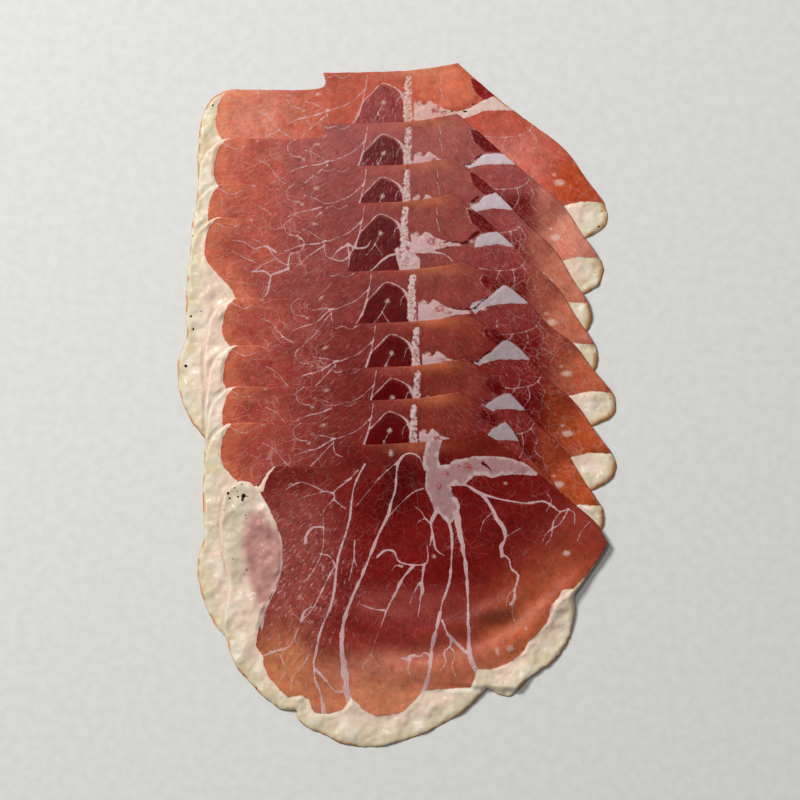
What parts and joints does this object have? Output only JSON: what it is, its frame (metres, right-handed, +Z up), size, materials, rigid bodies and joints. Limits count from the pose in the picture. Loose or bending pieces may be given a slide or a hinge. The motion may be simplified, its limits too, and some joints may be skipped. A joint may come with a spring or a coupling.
{
  "type": "sliced culatello",
  "caption": "Thin slices of culatello, a dry-cured ham, laid one over the next like shingles, with red marbled meat and rims of cream fat.",
  "frame": {"origin": "on the table under the middle of the stack's bounding box", "axes": "+X towards the tips of fat on the right, +Y from the front slice to the first slice at the back, +Z up"},
  "size_m": [0.1754, 0.2738, 0.0081],
  "materials": {
    "cured_ham": "moist cured meat with cream fat at the rim, satin to glossy"
  },
  "bodies": {
    "root": {"slice_1": "cured_ham", "slice_2": "cured_ham", "slice_3": "cured_ham", "slice_4": "cured_ham", "slice_5": "cured_ham", "slice_6": "cured_ham", "slice_7": "cured_ham", "slice_8": "cured_ham", "slice_9": "cured_ham"}
  },
  "joints": []
}
